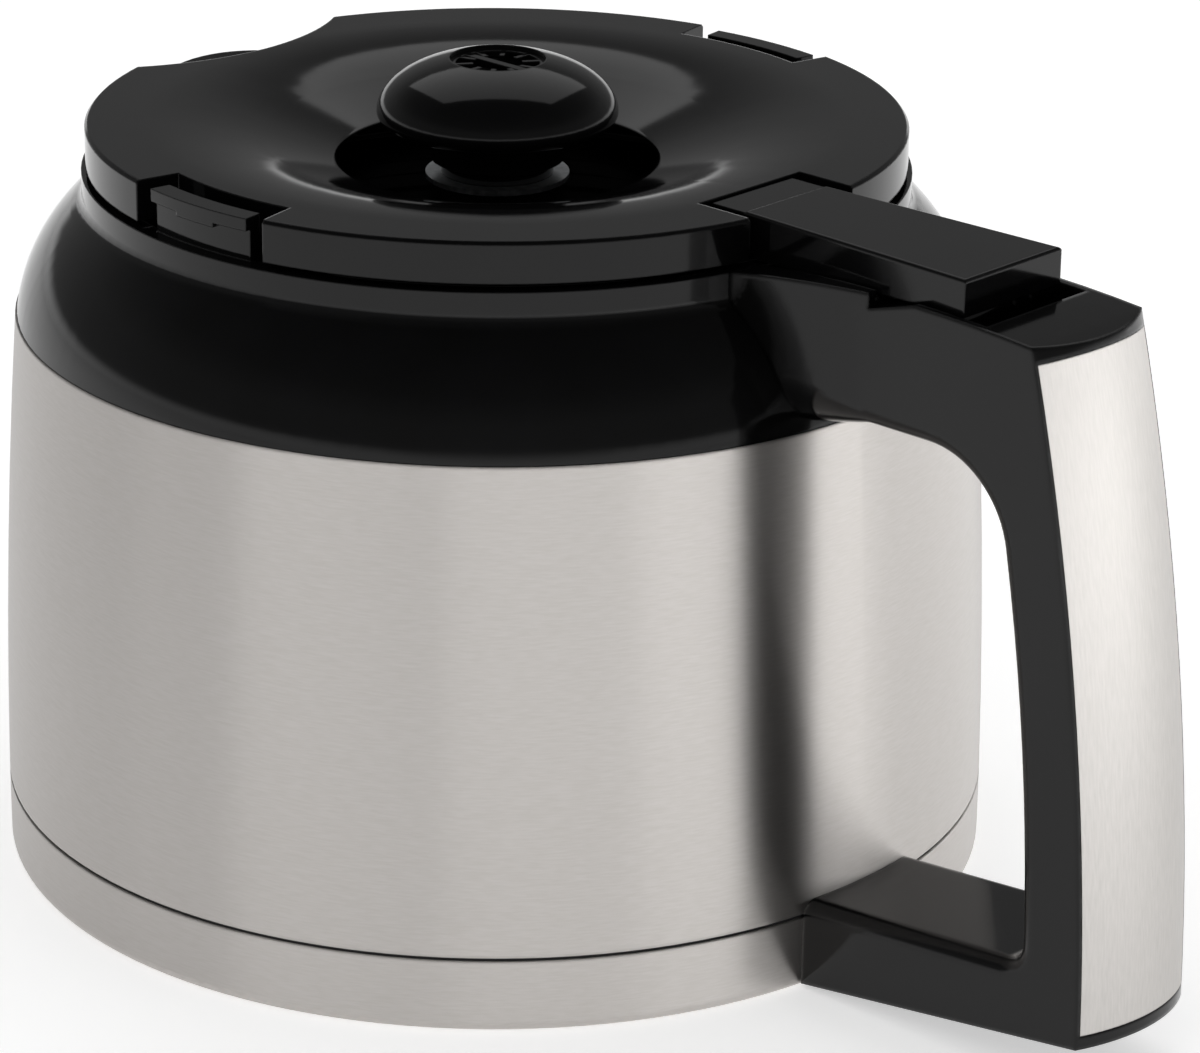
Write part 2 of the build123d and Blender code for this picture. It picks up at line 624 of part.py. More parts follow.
def cover_band():
    """Space that the steel cover takes on the crowned back."""
    half = GRIP_HALF - COVER_SIDE_RIM
    strip = area((-half, -NOSE_DEPTH), (half, -NOSE_DEPTH), (half, NOSE_DEPTH), (-half, NOSE_DEPTH))
    band = back_sweep((nose(0) - nose(COVER_WALL)) & strip)
    return band & side_slab(under_cover_top() & over_foot(COVER_LOW_RIM), FAR)


def grip_core():
    """Pockets that lighten the grip behind the steel cover, with ribs left between them."""
    middle = (NOSE_DEPTH - COVER_WALL - CORE_DEPTH) / 2
    deep = NOSE_DEPTH - COVER_WALL + CORE_DEPTH
    core = back_sweep(Pos(0, middle) * Rectangle(2 * CORE_HALF, deep))
    pitch = (CORE_HIGH_Z - CORE_LOW_Z) / (CORE_RIBS + 1)
    pockets = [
        block(0, FAR, -FAR, FAR, CORE_LOW_Z + n * pitch + RIB / 2, CORE_LOW_Z + (n + 1) * pitch - RIB / 2)
        for n in range(CORE_RIBS + 1)
    ]
    return [core & pocket for pocket in pockets]


def foot_bracket_block(play):
    """The bracket's plate and tab, made larger by a play."""
    plate = block(
        SHELL_R - BASE_WALL,
        SHELL_R + BRACKET_WALL + play,
        -BRACKET_HALF - play,
        BRACKET_HALF + play,
        BRACKET_LOW_Z - play,
        BRACKET_TOP_Z + play,
    )
    tab = block(
        SHELL_R - BASE_WALL,
        BRACKET_REACH + play,
        -BRACKET_HALF - play,
        BRACKET_HALF + play,
        BRACKET_TAB_Z - play,
        BRACKET_TAB_Z + BRACKET_WALL + play,
    )
    return plate + tab


def foot_bracket():
    """Steel angle welded to the base band, which the handle's foot is screwed to."""
    body = foot_bracket_block(0) - Cylinder(SHELL_R, 2 * FAR)
    return body - Pos(FOOT_SCREW_X, 0, 0) * Cylinder(SCREW_R + SCREW_PLAY, 2 * FAR)


def foot_screw():
    """Screw up through the foot and the bracket's tab."""
    return Pos(FOOT_SCREW_X, 0, FOOT_SCREW_Z) * screw(FOOT_SCREW_L)


def handle():
    """Black moulded handle, with the arm's room and the hinge in its top."""
    wide = GRIP_HALF
    long = STRIP_LOW[0] - FOOT_TOP_START[0] + NOSE_DEPTH
    upper = area((-wide, 0), (wide, 0), (wide, FAR), (-wide, FAR))
    section = (nose(0) & upper) + Pos(0, -long / 2) * Rectangle(2 * wide, long)
    side = under_top(0) & over_foot(0)
    opening = finger_opening()
    body = back_sweep(section) & side_slab(side - opening, FAR)
    split_z = (ARM_UNDER_Z + FOOT_TOP_END[1]) / 2
    body -= block(0, ROOT_END_X, -FAR, FAR, split_z, FAR)
    rim = opening.wires()[0]
    touched = [
        edge
        for edge in body.edges()
        if abs(abs((edge @ 0.5).Y) - wide) < 1e-3
        and rim.distance_to(Vertex((edge @ 0.5).X, (edge @ 0.5).Z, 0)) < 1e-3
    ]
    body = fillet(touched, FINGER_R)
    body += handle_root() & side_slab(under_top(0), FAR)
    body -= spun(collar_outline())
    body -= spun(shell_outline())
    body -= ring(NECK_R, 0, SHELL_TOP_Z, FAR)
    body -= Cylinder(SHELL_R, 2 * FOOT_TOP_END[1])
    body -= cover_band()
    for pocket in grip_core():
        body -= pocket
    body -= arm_room()
    body -= pin_rod(PIN_R + PIN_SEAT, -PIN_END, GRIP_HALF + MARGIN)
    body -= foot_bracket_block(BRACKET_PLAY)
    body -= Pos(FOOT_SCREW_X, 0, 0) * rod(SCREW_HEAD_R + SCREW_PLAY, FOOT_SCREW_Z + SCREW_HEAD_H)
    tip_z = FOOT_SCREW_Z + SCREW_HEAD_H + FOOT_SCREW_L
    body -= Pos(FOOT_SCREW_X, 0, 0) * rod(SCREW_R + PIN_SEAT, tip_z + HOLE_DEEPER)
    for y in (-ROOT_SCREW_Y, ROOT_SCREW_Y):
        body -= root_screw_hole(y)
    return body


def handle_cover():
    """Brushed steel cover of the grip's crowned back."""
    return cover_band()


def hinge_pin():
    """Steel pin that the lid's arm swings on, driven in from the far side."""
    return pin_rod(PIN_R, -PIN_END, GRIP_HALF - PIN_SUNK)


def lid_outline():
    """Half outline of everything under the lid's dished top."""
    rim = (DISH_RIM_R, LID_TOP_Z)
    slope_top = (DISH_MID_R, DISH_MID_Z)
    slope = TangentArc(rim, slope_top, tangent=(-1, 0))
    rest = Polyline(
        slope_top,
        (DISH_FLOOR_R, DISH_FLOOR_Z),
        (0, DISH_FLOOR_Z),
        (0, 0),
        (LID_R, 0),
        (LID_R, LID_TOP_Z),
        rim,
    )
    return make_face(Curve() + [slope, rest])


def lid_hollow():
    """Half outline of the space under the lid's wall, with straight slopes."""
    under_z = LID_TOP_Z - LID_WALL
    return area(
        (0, 0),
        (LID_R, 0),
        (LID_R, under_z),
        (DISH_RIM_R, under_z),
        (DISH_MID_R, DISH_MID_Z - LID_WALL),
        (DISH_FLOOR_R, DISH_UNDER_Z),
        (0, DISH_UNDER_Z),
    )


def lid_plan(inset):
    """The lid seen from above, with its notches and the scallop at the spout, made smaller by an inset."""
    plan = Circle(LID_R - inset)
    notch = Circle(FAR) - Circle(LID_R - NOTCH_DEPTH - inset)
    x = FAR * cos(radians(NOTCH_ANGLE))
    y = FAR * sin(radians(NOTCH_ANGLE))
    side_step = inset / cos(radians(NOTCH_ANGLE))
    wedge = area((0, -side_step), (x, -y - side_step), (x, y + side_step), (0, side_step))
    for turn in (90, -90):
        plan -= notch & (Rot(0, 0, turn) * wedge)
    corner = (-LID_R * cos(radians(SCALLOP_ANGLE)), LID_R * sin(radians(SCALLOP_ANGLE)))
    cx, cy, r = circle_through(corner, (-SCALLOP_DEEP_R, 0), (corner[0], -corner[1]))
    plan -= Pos(cx, cy) * Circle(r + inset)
    x = ARM_NOTCH_X - inset
    half = ARM_NOTCH_HALF + inset
    return plan - area((x, -half), (FAR, -half), (FAR, half), (x, half))


def yoke_block(play):
    """The arm's crosspiece under the lid's rim, made larger by a play."""
    top = ARM_START_LOW_Z + YOKE_H
    plate = block(YOKE_START_X - play, ARM_START_X + play, -YOKE_HALF - play, YOKE_HALF + play, 0, top)
    return plate & ring(LID_R - LID_WALL - SIDE_GAP + play, 0, 0, FAR)


def lid_cover():
    """Black dished cover of the lid, a moulded shell with a skirt."""
    outline = lid_outline()
    edge = outline.vertices().sort_by_distance((LID_R, LID_TOP_Z, 0))[0]
    outline = chamfer(edge, LID_EDGE)
    top = Pos(0, 0, LID_SKIRT_Z) * extrude(lid_plan(0), FAR)
    body = spun(outline) & top
    body -= spun(lid_hollow()) & extrude(lid_plan(LID_WALL), FAR)
    body += ring(PLUG_R, PLUG_R - PLUG_WALL, PLUG_TOP_Z, LID_TOP_Z - LID_WALL / 2)
    body -= yoke_block(SIDE_GAP)
    yoke_top = ARM_START_LOW_Z + YOKE_H
    for y in (-YOKE_SCREW_Y, YOKE_SCREW_Y):
        body += Pos(YOKE_SCREW_X, y, yoke_top) * rod(BOSS_R, LID_TOP_Z - LID_WALL / 2 - yoke_top)
        hole = rod(SCREW_R + PIN_SEAT, SCREW_HEAD_H + YOKE_SCREW_L + HOLE_DEEPER)
        body -= Pos(YOKE_SCREW_X, y, ARM_START_LOW_Z) * hole
    return body - ring(GUIDE_R + GUIDE_PLAY, 0, 0, FAR)


def lid_arm():
    """Black arm that carries the lid: yoke under the rim, tongue, block, and the knuckle on the pin."""
    x0, x1 = ARM_START_X, ARM_END_X
    plan = area((x0, -ARM_START_HALF), (x1, -ARM_END_HALF), (x1, ARM_END_HALF), (x0, ARM_START_HALF))
    side = area((x0, arm_low(x0)), (x1, arm_low(x1)), (x1, ARM_TOP_Z), (x0, ARM_TOP_Z))
    body = extrude(plan, FAR) & side_slab(side, FAR)
    body = fillet(body.edges().group_by(Axis.Z)[-1], ARM_EDGE_R)
    end_x = PIN_X - KNUCKLE_R - ARM_WALL
    inner = offset(plan, amount=-ARM_WALL) & area((x0, -FAR), (end_x, -FAR), (end_x, FAR), (x0, FAR))
    hollow = extrude(inner, ARM_TOP_Z - ARM_WALL)
    pitch = (end_x - ARM_WALL - x0) / (ARM_RIBS + 1)
    for n in range(ARM_RIBS):
        x = x0 + ARM_WALL + (n + 1) * pitch
        hollow -= block(x - RIB / 2, x + RIB / 2, -FAR, FAR, 0, FAR)
    body -= hollow
    low_x = PIN_X - KNUCKLE_R
    web_top = arm_low(PIN_X) + ARM_WALL
    web = area((low_x, PIN_Z), (PIN_X, PIN_Z), (PIN_X, web_top), (low_x, web_top))
    body += side_slab(Pos(PIN_X, PIN_Z) * Circle(KNUCKLE_R) + web, KNUCKLE_HALF)
    body += yoke_block(0) - block(0, FAR, -FAR, FAR, 0, ARM_START_LOW_Z)
    tongue_x = ARM_NOTCH_X + TONGUE_GAP
    tongue_top = ARM_TOP_Z - TONGUE_DROP
    body += block(tongue_x, x0 + ARM_WALL, -TONGUE_HALF, TONGUE_HALF, ARM_START_LOW_Z, tongue_top)
    for y in (-YOKE_SCREW_Y, YOKE_SCREW_Y):
        at = Pos(YOKE_SCREW_X, y, ARM_START_LOW_Z)
        body -= at * (rod(SCREW_HEAD_R + SCREW_PLAY, SCREW_HEAD_H) + rod(SCREW_R + SCREW_PLAY, 2 * YOKE_H))
    return body - pin_rod(PIN_R + PIN_PLAY, -FAR, FAR)


def lid_screws():
    """Two screws up through the yoke into the cover's bosses."""
    places = [Pos(YOKE_SCREW_X, y, ARM_START_LOW_Z) for y in (-YOKE_SCREW_Y, YOKE_SCREW_Y)]
    return Compound([place * screw(YOKE_SCREW_L) for place in places])


def lid_plug():
    """Black cup under the cover that fills the mouth: seal groove, pouring port, valve seat and cage."""
    plate_top = PLUG_BOTTOM_Z + PLUG_WALL
    in_r = PLUG_R - PLUG_WALL
    wall = area(
        (VALVE_HOLE_R, PLUG_BOTTOM_Z),
        (PLUG_R, PLUG_BOTTOM_Z),
        (PLUG_R, PLUG_TOP_Z),
        (in_r, PLUG_TOP_Z),
        (in_r, plate_top),
        (VALVE_HOLE_R + CAGE_WALL, plate_top),
        (VALVE_HOLE_R + CAGE_WALL, CAGE_RING_Z + CAGE_RING_H),
        (STEM_R + STEM_GAP, CAGE_RING_Z + CAGE_RING_H),
        (STEM_R + STEM_GAP, CAGE_RING_Z),
        (VALVE_HOLE_R, CAGE_RING_Z),
    )
    corner = wall.vertices().sort_by_distance((PLUG_R, PLUG_BOTTOM_Z, 0))[0]
    wall = chamfer(corner, PLUG_EDGE)
    groove_r = PLUG_R - PLUG_SEAL_DEPTH
    low = PLUG_SEAL_Z
    high = PLUG_SEAL_Z + PLUG_SEAL_H
    back = groove_r - PLUG_WALL
    wall += area((back, low - RIB), (groove_r, low - RIB), (groove_r, high + RIB), (back, high + RIB))
    wall -= area((groove_r, low), (FAR, low), (FAR, high), (groove_r, high))
    body = spun(wall)
    body -= block(-FAR, -PLUG_R / 2, -PORT_HALF, PORT_HALF, PORT_LOW_Z, PORT_HIGH_Z)
    window = 180 / CAGE_POSTS - POST_ANGLE
    for n in range(CAGE_POSTS):
        turn = 360 / CAGE_POSTS * n
        cage_r = VALVE_HOLE_R + CAGE_WALL
        body -= arc_block(cage_r + MARGIN, VALVE_HOLE_R - MARGIN, turn, window, plate_top, CAGE_RING_Z)
    return body


def lid_seal():
    """Soft ring in the plug's groove."""
    gap = (PLUG_SEAL_H - SEAL_THICK) / 2
    out_r = MOUTH_R - PLUG_SEAL_GAP
    return ring(out_r, PLUG_R - PLUG_SEAL_DEPTH, PLUG_SEAL_Z + gap, PLUG_SEAL_Z + PLUG_SEAL_H - gap)


def valve_guide():
    """Black bush in the dish's floor that the knob's hub slides in."""
    bore = HUB_R + GUIDE_PLAY
    face = area(
        (bore, GUIDE_BOTTOM_Z),
        (GUIDE_R, GUIDE_BOTTOM_Z),
        (GUIDE_R, DISH_FLOOR_Z),
        (GUIDE_COLLAR_R, DISH_FLOOR_Z),
        (GUIDE_COLLAR_R, GUIDE_TOP_Z),
        (bore, GUIDE_TOP_Z),
    )
    groove = (GUIDE_R - CLIP_DEPTH, DISH_UNDER_Z - CLIP_H)
    face -= area(groove, (FAR, groove[1]), (FAR, DISH_UNDER_Z), (groove[0], DISH_UNDER_Z))
    return spun(face)


def guide_clip():
    """Steel retaining ring that holds the bush under the dish's floor."""
    return ring(GUIDE_CLIP_R, GUIDE_R - CLIP_DEPTH, DISH_UNDER_Z - CLIP_H, DISH_UNDER_Z)


def knob():
    """Black domed knob on its hollow hub, open in the middle for the grille."""
    dome = Ellipse(KNOB_R, KNOB_TOP_Z - KNOB_WIDE_Z) & area((0, 0), (FAR, 0), (FAR, FAR), (0, FAR))
    roll = Pos(KNOB_UNDER_R, 0) * Ellipse(KNOB_R - KNOB_UNDER_R, KNOB_WIDE_Z - KNOB_UNDER_Z)
    under_h = KNOB_WIDE_Z - KNOB_UNDER_Z
    roll += area((0, -under_h), (KNOB_UNDER_R, -under_h), (KNOB_UNDER_R, 0), (0, 0))
    face = Pos(0, KNOB_WIDE_Z) * (dome + roll)
    face += area((0, HUB_BOTTOM_Z), (HUB_R, HUB_BOTTOM_Z), (HUB_R, KNOB_WIDE_Z), (0, KNOB_WIDE_Z))
    grille_top = KNOB_TOP_Z - GRILLE_DROP
    grille_low = grille_top - GRILLE_H
    face -= area((0, grille_low), (GRILLE_R, grille_low), (GRILLE_R, FAR), (0, FAR))
    face -= area((0, 0), (STEM_R, 0), (STEM_R, STEM_TOP_Z), (0, STEM_TOP_Z))
    funnel_r = GRILLE_R - GRILLE_RIM
    low, top = STEM_TOP_Z, STEM_TOP_Z + FUNNEL_H
    face -= area((0, low), (STEM_BORE_R, low), (funnel_r, top), (funnel_r, FAR), (0, FAR))
    out_r = KNOB_UNDER_R - KNOB_WALL / 2
    top = KNOB_WIDE_Z + KNOB_WALL
    face -= area((HUB_R, 0), (out_r, 0), (out_r, top), (HUB_R, top + KNOB_WALL))
    return spun(face)


def knob_grille():
    """Black grille in the knob's top: a rim, one bar across and short spokes, open between them."""
    low = KNOB_TOP_Z - GRILLE_DROP - GRILLE_H
    rim_r = GRILLE_R - GRILLE_RIM / 2
    plan = Circle(GRILLE_R) - Circle(GRILLE_R - GRILLE_RIM)
    plan += Rectangle(2 * rim_r, GRILLE_BAR)
    spoke = Pos((rim_r + GRILLE_SPOKE_IN_R) / 2, 0) * Rectangle(rim_r - GRILLE_SPOKE_IN_R, GRILLE_SPOKE)
    for n in range(GRILLE_SPOKES):
        plan += Rot(0, 0, 360 / GRILLE_SPOKES * (n + 0.5)) * spoke
    return Pos(0, 0, low) * extrude(plan, GRILLE_H)


def disc_top_z():
    """Top of the valve disc when the valve is shut."""
    return PLUG_BOTTOM_Z - SEAT_GAP - VALVE_SEAL_H


def valve_stem():
    """Tube from the knob down to the valve disc, which freshly brewed coffee runs through."""
    end_r = STEM_R - STEM_STEP
    clip_low = disc_top_z() - DISC_H - CLIP_H
    face = area(
        (STEM_BORE_R, STEM_BOTTOM_Z),
        (end_r, STEM_BOTTOM_Z),
        (end_r, disc_top_z()),
        (STEM_R, disc_top_z()),
        (STEM_R, STEM_TOP_Z),
        (STEM_BORE_R, STEM_TOP_Z),
    )
    groove_r = end_r - CLIP_DEPTH
    clip_top = clip_low + CLIP_H
    face -= area((groove_r, clip_low), (FAR, clip_low), (FAR, clip_top), (groove_r, clip_top))
    return spun(face)


def valve_disc():
    """Black disc that shuts the hole in the plug's floor from below."""
    top = disc_top_z()
    body = ring(DISC_R, STEM_R - STEM_STEP, top - DISC_H, top)
    edge = body.edges().filter_by(GeomType.CIRCLE).group_by(Axis.Z)[0].sort_by(SortBy.RADIUS)[-1]
    return chamfer(edge, DISC_H / 2)


def valve_seal():
    """Soft ring on the disc, under the seat."""
    top = disc_top_z()
    return ring(VALVE_SEAL_R, VALVE_SEAL_IN_R, top, top + VALVE_SEAL_H)


def stem_clip():
    """Steel retaining ring under the disc."""
    top = disc_top_z() - DISC_H
    return ring(STEM_CLIP_R, STEM_R - STEM_STEP - CLIP_DEPTH, top - CLIP_H, top)


def valve_spring():
    """Steel coil spring that pushes the knob up and the valve shut."""
    low = CAGE_RING_Z + CAGE_RING_H + SPRING_WIRE_R + PIN_PLAY
    high = HUB_BOTTOM_Z - SPRING_WIRE_R - PIN_PLAY
    path = Pos(0, 0, low) * Helix((high - low) / SPRING_TURNS, high - low, SPRING_R)
    start = Plane(path @ 0, z_dir=path % 0)
    return sweep(start * RegularPolygon(SPRING_WIRE_R, SPRING_WIRE_SIDES), path, is_frenet=True)


PARTS = {
    "outer_shell": outer_shell,
    "inner_liner": inner_liner,
    "closing_disc": closing_disc,
    "getter": getter,
    "base_cup": base_cup,
    "seam_ring": seam_ring,
    "collar": collar,
    "collar_seal": collar_seal,
    "retaining_ring": retaining_ring,
    "root_screws": root_screws,
    "handle": handle,
    "handle_cover": handle_cover,
    "foot_bracket": foot_bracket,
    "foot_screw": foot_screw,
    "hinge_pin": hinge_pin,
    "lid_cover": lid_cover,
    "lid_arm": lid_arm,
    "lid_screws": lid_screws,
    "lid_plug": lid_plug,
    "lid_seal": lid_seal,
    "valve_guide": valve_guide,
    "guide_clip": guide_clip,
    "knob": knob,
    "knob_grille": knob_grille,
    "valve_stem": valve_stem,
    "valve_disc": valve_disc,
    "valve_seal": valve_seal,
    "stem_clip": stem_clip,
    "valve_spring": valve_spring,
}

os.makedirs("parts", exist_ok=True)
for name, make in PARTS.items():
    export_step(make(), f"parts/{name}.step")
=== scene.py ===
# A thermal carafe for a drip coffee machine: brushed steel body with black moulded collar, handle and lid,
# and a push valve in the lid's middle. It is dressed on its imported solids, in the order it is put together.
import bpy
from math import cos, radians, sin
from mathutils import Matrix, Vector


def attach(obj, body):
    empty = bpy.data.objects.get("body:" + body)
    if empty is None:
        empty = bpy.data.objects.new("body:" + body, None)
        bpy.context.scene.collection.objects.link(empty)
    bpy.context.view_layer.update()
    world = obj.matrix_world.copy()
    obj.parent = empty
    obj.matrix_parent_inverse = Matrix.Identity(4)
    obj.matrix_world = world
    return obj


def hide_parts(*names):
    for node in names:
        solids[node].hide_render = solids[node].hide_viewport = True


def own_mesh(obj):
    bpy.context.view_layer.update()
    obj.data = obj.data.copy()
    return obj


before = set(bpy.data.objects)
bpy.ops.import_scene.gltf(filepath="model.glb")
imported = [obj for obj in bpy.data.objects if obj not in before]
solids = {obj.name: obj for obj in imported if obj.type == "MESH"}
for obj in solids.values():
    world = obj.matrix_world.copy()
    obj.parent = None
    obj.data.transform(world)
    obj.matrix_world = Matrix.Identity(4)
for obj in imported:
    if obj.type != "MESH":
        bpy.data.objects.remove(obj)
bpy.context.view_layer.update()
bpy.ops.object.select_all(action="DESELECT")


# Inner liner and closing disc: the vessel that holds the coffee, and the disc that shuts the shell's foot
# under it. Deep-drawn stainless steel with its mill finish: a soft warm grey with faint draw marks.
def colour(hex_code):
    """An sRGB hex value as linear red, green, blue and alpha."""
    parts = [int(hex_code[i:i + 2], 16) / 255 for i in (1, 3, 5)]
    return [v / 12.92 if v <= 0.04045 else ((v + 0.055) / 1.055) ** 2.4 for v in parts] + [1.0]


def new_material(name):
    """An empty node material."""
    material = bpy.data.materials.new(name)
    material.use_nodes = True
    material.node_tree.nodes.clear()
    return material


def add_node(material, kind, sockets=None, stops=(), **settings):
    """Adds a shader node. A socket is set to a value or fed by another node's output. Stops are the positions
    and colours of a colour ramp, from the lowest up."""
    node = material.node_tree.nodes.new(kind)
    for name, value in settings.items():
        setattr(node, name, value)
    for key, value in (sockets or {}).items():
        if isinstance(value, bpy.types.NodeSocket):
            material.node_tree.links.new(value, node.inputs[key])
        else:
            node.inputs[key].default_value = value
    for count, (position, shade) in enumerate(stops):
        elements = node.color_ramp.elements
        stop = elements[count] if count < 2 else elements.new(position)
        stop.position, stop.color = position, shade
    return node


def cloud(material, along_x, along_y, along_z, detail=3.0):
    """A grey cloud pattern fixed to the piece, with the size of its lumps along each axis in millimetres."""
    place = add_node(material, "ShaderNodeTexCoord")
    lumps = add_node(
        material, "ShaderNodeMapping",
        {"Vector": place.outputs["Object"], "Scale": (1000 / along_x, 1000 / along_y, 1000 / along_z)},
    )
    noise = add_node(
        material, "ShaderNodeTexNoise", {"Vector": lumps.outputs[0], "Scale": 1.0, "Detail": detail},
    )
    return noise.outputs["Fac"]


def two_tones(low, high):
    """The stops of a colour ramp that blends two colours over the middle of a grey pattern."""
    return (0.3, colour(low)), (0.7, colour(high))


def finish(material, pattern, tones, roughness, depth, strength, rest, corner=0.0):
    """Ends a material in one shader. The pattern blends two tones, moves the roughness between two values and
    raises a relief, whose depth is in millimetres as the radius of the corners is. The rest are the shader's
    other sockets."""
    tone = add_node(material, "ShaderNodeValToRGB", {"Fac": pattern}, stops=two_tones(*tones))
    gloss = add_node(
        material, "ShaderNodeMapRange", {"Value": pattern, "To Min": roughness[0], "To Max": roughness[1]},
    )
    raised = {"Height": pattern, "Distance": depth / 1000, "Strength": strength}
    if corner:
        rounding = add_node(material, "ShaderNodeBevel", {"Radius": corner / 1000}, samples=6)
        raised["Normal"] = rounding.outputs[0]
    relief = add_node(material, "ShaderNodeBump", raised)
    shader = add_node(
        material, "ShaderNodeBsdfPrincipled",
        {
            "Base Color": tone.outputs["Color"],
            "Roughness": gloss.outputs[0],
            "Normal": relief.outputs[0],
            **rest,
        },
    )
    add_node(material, "ShaderNodeOutputMaterial", {"Surface": shader.outputs[0]})


def dress(piece, material):
    """Puts one material on a whole piece."""
    piece.data.materials.clear()
    piece.data.materials.append(material)


drawn_steel = new_material("drawn stainless steel")
# draw marks: soft streaks about 3 mm wide and 25 mm long that run up the wall
finish(
    drawn_steel, cloud(drawn_steel, 3.3, 3.3, 25), tones=("#BDBAB6", "#CCC9C5"), roughness=(0.28, 0.40),
    depth=0.02, strength=0.1, rest={"Metallic": 1.0},
)
dress(solids["inner_liner"], drawn_steel)
dress(solids["closing_disc"], drawn_steel)


# Getter: a small pellet of sintered zirconium alloy, glued to the closing disc inside the vacuum space,
# where it takes up stray gas. Dull dark grey with a coarse pressed grain.
sinter = new_material("sintered zirconium")
# pressed grain of 0.5 mm
finish(
    sinter, cloud(sinter, 0.5, 0.5, 0.5, detail=2.0), tones=("#55534F", "#75726D"), roughness=(0.6, 0.8),
    depth=0.1, strength=0.4, rest={"Metallic": 1.0},
)
dress(solids["getter"], sinter)


# Outer shell and base band: stainless steel sheet, brushed round and round on a belt, so the grain runs
# level and the lights in it are drawn out into soft upright bands. The rolled edges catch the light.
brushed_steel = new_material("brushed stainless steel")
round_way = add_node(brushed_steel, "ShaderNodeTangent", direction_type="RADIAL", axis="Z")
# brush strokes 3 mm long and 0.3 mm high; the real grit is finer, and this is as fine as shows
finish(
    brushed_steel, cloud(brushed_steel, 3, 3, 0.3), tones=("#BFBBB7", "#C6C2BF"), roughness=(0.38, 0.42),
    depth=0.02, strength=0.03, corner=0.9,
    rest={
        "Metallic": 1.0,
        "Anisotropic": 0.95,
        "Anisotropic Rotation": 0.25,
        "Tangent": round_way.outputs[0],
    },
)
dress(solids["outer_shell"], brushed_steel)
dress(solids["base_cup"], brushed_steel)


# Seam ring and seals: silicone rubber, pressed in a mould, matt and near black with a faint bloom. The ring
# lies in the seam over the base band, the seals on the liner's lip, round the plug and on the valve's disc.
silicone = new_material("silicone rubber")
# bloom in patches of 2.5 mm
finish(
    silicone, cloud(silicone, 2.5, 2.5, 2.5, detail=2.0), tones=("#121213", "#1B1B1C"), roughness=(0.5, 0.65),
    depth=0.03, strength=0.1, rest={"IOR": 1.42},
)
for name in ("seam_ring", "collar_seal", "lid_seal", "valve_seal"):
    dress(solids[name], silicone)


# Collar with the pouring lip, and the ring that screws into it and clamps it on the steel neck. Both are
# black ABS from polished moulds: deep black and glossy, with corners rounded by 0.4 mm.
def moulded_abs(name, corner):
    """Gloss black ABS whose corners are rounded by a radius in millimetres."""
    material = new_material(name)
    # sink and flow marks 11 mm wide
    finish(
        material, cloud(material, 11, 11, 11), tones=("#060606", "#09090A"), roughness=(0.07, 0.11),
        depth=0.05, strength=0.03, corner=corner, rest={"IOR": 1.37},
    )
    return material


black_abs = moulded_abs("black ABS", corner=0.4)
dress(solids["collar"], black_abs)
dress(solids["retaining_ring"], black_abs)


# Handle: one hollow-backed moulding of the same black ABS. Two screws from inside the neck hold its root,
# and a third holds its foot to an angle of drawn steel that is welded to the base band.
MERGE_REACH = 0.000001  # metres; corners nearer than this become one
SOFT_BEND = 30  # degrees; a bend flatter than this shades smooth


def merged_copy(node, piece_name, body):
    """A copy of a solid as one closed skin, so that its soft bends shade evenly; it stands for the solid."""
    piece = bpy.data.objects.new(piece_name, solids[node].data.copy())
    bpy.context.scene.collection.objects.link(piece)
    piece.select_set(True)
    bpy.context.view_layer.objects.active = piece
    bpy.ops.mesh.customdata_custom_splitnormals_clear()
    bpy.ops.object.mode_set(mode="EDIT")
    bpy.ops.mesh.select_all(action="SELECT")
    bpy.ops.mesh.remove_doubles(threshold=MERGE_REACH)
    bpy.ops.object.mode_set(mode="OBJECT")
    bpy.ops.object.shade_smooth_by_angle(angle=radians(SOFT_BEND))
    even = piece.modifiers.new("even light", "WEIGHTED_NORMAL")
    even.keep_sharp = True
    bpy.ops.object.modifier_apply(modifier="even light")
    piece.select_set(False)
    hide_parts(node)
    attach(piece, body)
    return piece


grip = merged_copy("handle", "handle_moulding", "jug")
# its corners are rounded by 1 mm, to be easy on the hand
dress(grip, moulded_abs("black ABS, broad corners", corner=1.0))
dress(solids["foot_bracket"], drawn_steel)


# Cover of the grip's back: a strip of steel sheet pressed to the crowned back and glued between its rims. It
# is brushed lengthwise with a finer belt than the shell, so it is paler, with soft lights that run down it.
cover_steel = new_material("fine-brushed stainless steel")
# brush strokes 0.3 mm wide and 3 mm long down the grip, drawn coarser than the real ones so that they show
finish(
    cover_steel, cloud(cover_steel, 3, 0.3, 3), tones=("#B4B1AE", "#BDBAB7"), roughness=(0.46, 0.54),
    depth=0.02, strength=0.03, corner=0.3, rest={"Metallic": 1.0},
)
dress(solids["handle_cover"], cover_steel)


# Hinge pin, screws and retaining rings: turned from steel rod or bent from wire, then zinc plated. Small and
# bright, with a cool tone and a faintly cloudy plate.
zinc = new_material("zinc-plated steel")
# clouds of 1.4 mm in the plate
finish(
    zinc, cloud(zinc, 1.4, 1.4, 1.4), tones=("#A9ADB0", "#CDD0D2"), roughness=(0.25, 0.35),
    depth=0.02, strength=0.05, rest={"Metallic": 1.0},
)
for name in ("root_screws", "foot_screw", "hinge_pin", "lid_screws", "guide_clip", "stem_clip"):
    dress(solids[name], zinc)


# Lid: the dished cover and the arm that hinges it to the handle, both moulded in the same gloss black ABS.
# The arm's yoke lies under the cover's rim, and two screws pull them together.
dress(solids["lid_arm"], black_abs)
dress(solids["lid_cover"], black_abs)


# Plug: a cup under the cover that fits the mouth with a soft ring, with the pouring port in its wall and the
# seat of the valve in its floor. Moulded in the same ABS.
dress(solids["lid_plug"], black_abs)


